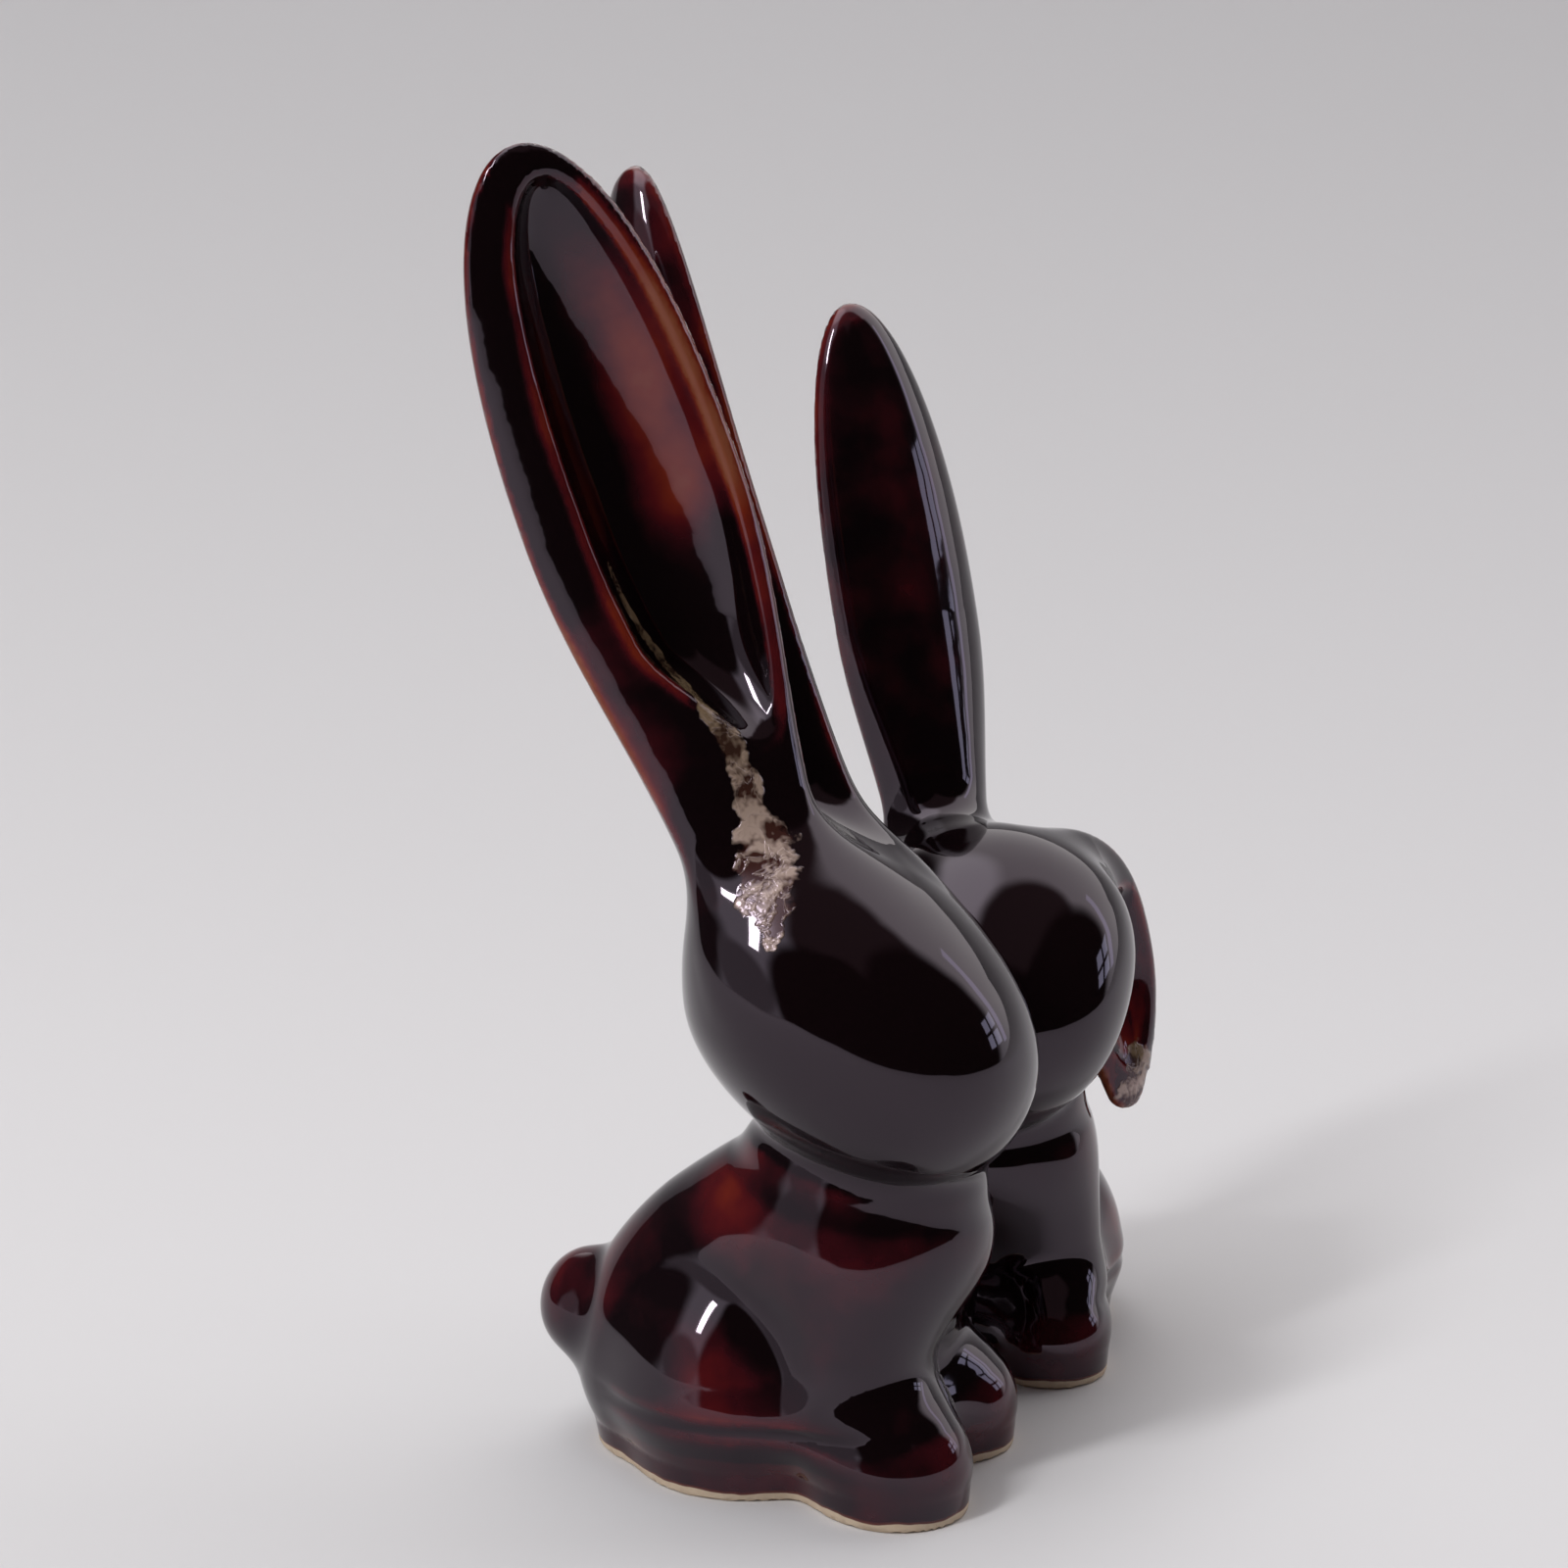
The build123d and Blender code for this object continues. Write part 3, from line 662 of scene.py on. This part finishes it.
def make_rabbit(rabbit):
    points, faces = skin_mesh(rabbit, STEP / rabbit.share)
    points = on_skin(points, rabbit)
    _, way = skin_way(points, rabbit)
    way /= np.linalg.norm(way, axis=1, keepdims=True) + 1e-9
    way = way @ rabbit.turn.T
    owner = which_node(points[faces].mean(1), rabbit)
    bare = (casting_hollow(points) < BARE_NEAR) & (points[:, 2] < BARE_TOP)
    run, down = rutile(points, rabbit)
    values = {"thin_glaze": thinness(points, rabbit), "rutile": run, "rutile_down": down,
              "bare_clay": bare.astype(float)}
    world = rabbit.world(points) * MM
    names = ["body", "head"] + [k[len(rabbit.name) + 1:] for k in rabbit.ears]
    for i, part in enumerate(names):
        used, own_faces = np.unique(faces[owner == i], return_inverse=True)
        mesh = bpy.data.meshes.new(f"{rabbit.name}_{part}_casting")
        mesh.from_pydata(world[used].tolist(), [], own_faces.reshape(-1, 4).tolist())
        mesh.materials.append(GLAZE)
        mesh.polygons.foreach_set("use_smooth", np.ones(len(mesh.polygons), bool))
        for name, value in values.items():
            held = mesh.attributes.new(name, "FLOAT", "POINT")
            held.data.foreach_set("value", value[used].astype(np.float32))
        mesh.update()
        mesh.normals_split_custom_set_from_vertices(way[used].tolist())
        piece = bpy.data.objects.new(mesh.name, mesh)
        bpy.context.scene.collection.objects.link(piece)
        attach(piece, "root")
        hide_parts(f"{rabbit.name}_{part}")


for rabbit in (TALL, SMALL):
    make_rabbit(rabbit)

# Camera: over the table, looking a little down at the pair
CAMERA_TURN = math.radians(-24.5)
CAMERA_DOWN = math.radians(10.2)
CAMERA_AT = Vector((-0.1714, -0.3512, 0.160))
FRAME_PIXELS, LENS_PIXELS, SENSOR = 1600, 2900, 36.0
NEAREST = 0.01
camera = bpy.data.cameras.new("camera")
camera.sensor_width = SENSOR
camera.lens = SENSOR * LENS_PIXELS / FRAME_PIXELS
camera.clip_start = NEAREST
eye = bpy.data.objects.new("camera", camera)
eye.matrix_world = (Matrix.Translation(CAMERA_AT) @ Matrix.Rotation(CAMERA_TURN, 4, "Z")
                    @ Matrix.Rotation(math.pi / 2 - CAMERA_DOWN, 4, "X"))
bpy.context.scene.collection.objects.link(eye)
bpy.context.scene.camera = eye

# Level directions ahead of the camera and to its right
AHEAD = Vector((-math.sin(CAMERA_TURN), math.cos(CAMERA_TURN), 0))
RIGHT = Vector((math.cos(CAMERA_TURN), math.sin(CAMERA_TURN), 0))


def room_way(side, up):
    """Direction seen from the pair: degrees to the right of the camera, and degrees up."""
    a, e = math.radians(side), math.radians(up)
    return (RIGHT * math.sin(a) - AHEAD * math.cos(a)) * math.cos(e) + Vector((0, 0, math.sin(e)))


# Middle of the pair, which the lamps face
AIM = Vector((0.005, -0.005, 0.07))
# Narrow window high to the left, to the right the edge of a far window, and its four low panes:
# name, degrees right of the camera, degrees up, metres away, width, height, brightness, colour
LAMPS = [
    ("window_lamp", -48, 43, 1.8, 0.14, 0.68, 38.0, "#ffffff"),
    ("far_window_lamp", 108, 20, 0.95, 0.06, 0.54, 1.4, "#cfcaf2"),
]
for i, side in enumerate((95, 102)):
    for j, up in enumerate((8, 15)):
        LAMPS.append((f"far_pane_lamp_{i}_{j}", side, up, 0.95, 0.085, 0.09, 2.0, "#dfe6ff"))


def soft_light(name, side, up, away, wide, tall, bright, colour):
    """Flat lamp that faces the pair; its brightness is against white paper's."""
    lamp = bpy.data.lights.new(name, "AREA")
    lamp.shape = "RECTANGLE"
    lamp.size, lamp.size_y = wide, tall
    lamp.energy = bright * math.pi * wide * tall
    lamp.color = srgb(colour)[:3]
    holder = bpy.data.objects.new(name, lamp)
    way = room_way(side, up)
    turn = way.to_track_quat("Z", "Y").to_matrix().to_4x4()
    holder.matrix_world = Matrix.Translation(AIM + way * away) @ turn
    bpy.context.scene.collection.objects.link(holder)


for lamp in LAMPS:
    soft_light(*lamp)

# Paper, in metres: near end, start of its long gentle curve, radius and turn of the curve, half width
PAPER_NEAR, PAPER_FRONT, PAPER_BEND = -2.0, -0.5, 0.2
PAPER_RADIUS, PAPER_ARC, PAPER_STEPS = 1.5, 1.2, 33
PAPER_WIDE = 2.2


def sweep():
    """Matt pale paper under the pair, curved up far behind it."""
    line = [(PAPER_NEAR, 0.0), (PAPER_FRONT, 0.0)]
    line += [(PAPER_BEND + PAPER_RADIUS * math.sin(a), PAPER_RADIUS - PAPER_RADIUS * math.cos(a))
             for a in np.linspace(0, PAPER_ARC, PAPER_STEPS)]
    points = [AHEAD * x + RIGHT * y + Vector((0, 0, z))
              for x, z in line for y in (-PAPER_WIDE, PAPER_WIDE)]
    strips = [(2 * i, 2 * i + 1, 2 * i + 3, 2 * i + 2) for i in range(len(line) - 1)]
    mesh = bpy.data.meshes.new("paper_sweep")
    mesh.from_pydata([tuple(v) for v in points], [], strips)
    m, t = new_material("matt_pale_paper")
    shader = add(t, "ShaderNodeBsdfPrincipled",
                 {"Base Color": srgb("#dedddf"), "Roughness": 0.9, "Specular IOR Level": 0.2})
    add(t, "ShaderNodeOutputMaterial", links={"Surface": shader})
    mesh.materials.append(m)
    mesh.polygons.foreach_set("use_smooth", np.ones(len(mesh.polygons), bool))
    paper = bpy.data.objects.new("paper_sweep", mesh)
    bpy.context.scene.collection.objects.link(paper)
    return paper


sweep()

# The room that the glaze mirrors: pale walls, and in front of them, each over the one before,
# degrees right of the camera, degrees up, full and faded radius in degrees, colour, brightness
WALLS = ("#fcfaff", 0.74)
ROOM = [
    (0, 90, 60, 100, "#fbfaff", 1.15),
    (160, 50, 45, 70, "#fdfaf8", 1.45),
    (-95, 72, 14, 26, "#ffffff", 2.50),
    (-112, 22, 34, 44, "#a8979c", 0.12),
    (-58, 12, 14, 20, "#efe9ee", 0.50),
    (35, 45, 34, 42, "#b89c9c", 0.26),
    (0, 13, 37, 43, "#b0a098", 0.035),
    (62, 12, 37, 44, "#b0a098", 0.035),
]


def glow(colour, bright):
    return [c * bright for c in srgb(colour)[:3]] + [1.0]


def room():
    world = bpy.data.worlds.new("room")
    world.use_nodes = True
    tree = world.node_tree
    tree.nodes.clear()
    seen = add(tree, "ShaderNodeTexCoord").outputs["Generated"]
    light = None
    for side, up, full, faded, colour, bright in ROOM:
        toward = add(tree, "ShaderNodeVectorMath", {"operation": "DOT_PRODUCT", 1: room_way(side, up)},
                     {0: seen}).outputs["Value"]
        within = add(tree, "ShaderNodeMapRange",
                     {"interpolation_type": "SMOOTHSTEP", "From Min": math.cos(math.radians(faded)),
                      "From Max": math.cos(math.radians(full))}, {"Value": toward})
        light = add(tree, "ShaderNodeMixRGB", {"Color1": glow(*WALLS), "Color2": glow(colour, bright)},
                    {"Fac": within, "Color1": light} if light else {"Fac": within})
    air = add(tree, "ShaderNodeBackground", {"Strength": 1.0}, {"Color": light})
    add(tree, "ShaderNodeOutputWorld", links={"Surface": air})
    return world


bpy.context.scene.world = room()
bpy.context.scene.view_settings.view_transform = "Standard"
